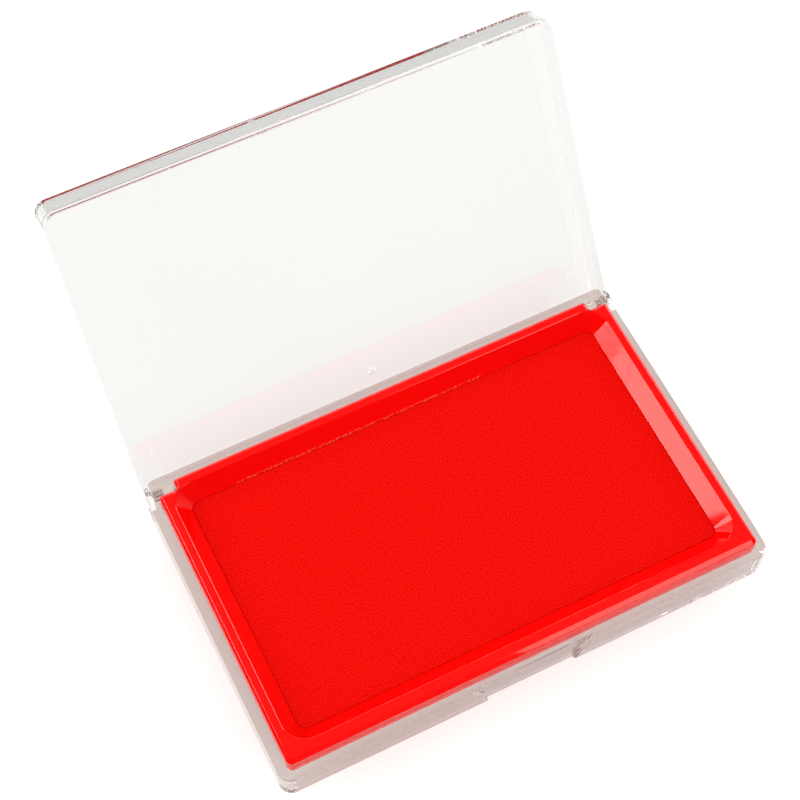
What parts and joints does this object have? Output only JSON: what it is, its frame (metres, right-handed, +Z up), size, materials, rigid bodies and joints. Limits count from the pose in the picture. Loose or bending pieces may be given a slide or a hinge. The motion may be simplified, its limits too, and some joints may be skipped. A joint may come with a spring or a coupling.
{
  "type": "ink pad",
  "caption": "Rectangular stamping ink pad in a clear hinged plastic case, lid standing open behind a glossy red well frame that holds an inked cloth pad.",
  "frame": {"origin": "centre of the closed case's footprint, on the flat underside that it stands on", "axes": "+X to the user's right along the long side, -Y towards the front with the thumb recess, +Z up out of the pad"},
  "size_m": [0.138, 0.1381, 0.0813],
  "materials": {
    "clear_plastic": "clear polished polystyrene",
    "red_plastic": "glossy moulded red",
    "inked_cloth": "fine woven cloth wet with red ink",
    "inked_foam": "open-cell foam soaked with red ink"
  },
  "bodies": {
    "base": {"base_case": "clear_plastic", "ink_tray": "red_plastic", "foam_core": "inked_foam", "ink_cloth": "inked_cloth"},
    "lid": {"lid": "clear_plastic"}
  },
  "joints": [
    {"name": "lid_hinge", "type": "hinge", "parent": "base", "child": "lid", "pos_m": [0, 0.0407, 0.0101], "axis": [-1, 0, 0], "range_deg": [-122, 0]}
  ]
}
